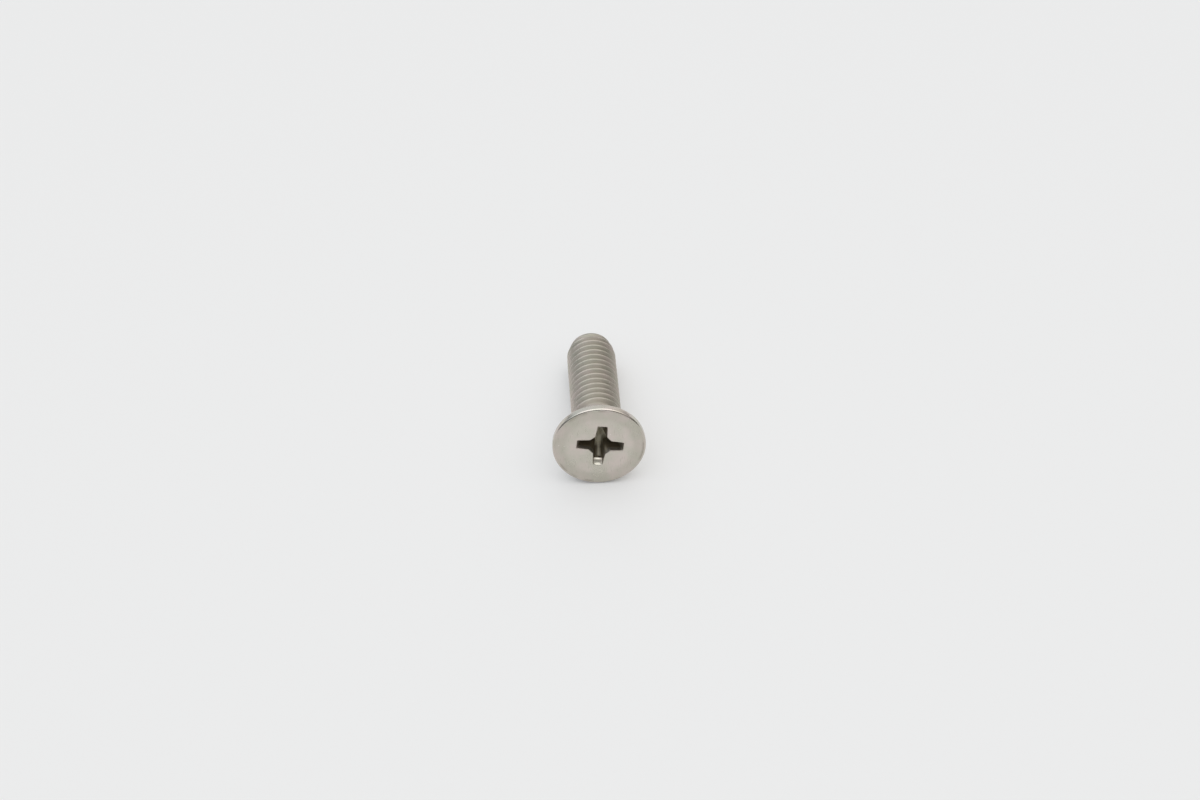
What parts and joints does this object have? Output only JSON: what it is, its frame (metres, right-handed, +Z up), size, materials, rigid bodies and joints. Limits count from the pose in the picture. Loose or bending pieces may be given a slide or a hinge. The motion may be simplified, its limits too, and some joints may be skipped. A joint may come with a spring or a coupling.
{
  "type": "countersunk machine screw",
  "caption": "Countersunk machine screw with a flat head, a cross recess, a short plain neck and a full-length metric thread.",
  "frame": {"origin": "on the supporting surface, below the middle of the lying screw's box", "axes": "+Y the way the tip points, along the surface; +Z up; the head's face looks along -Y and a little up"},
  "size_m": [0.009, 0.0168, 0.009],
  "materials": {
    "steel": "satin stainless steel, lightly marked"
  },
  "bodies": {
    "root": {"machine_screw": "steel"}
  },
  "joints": []
}
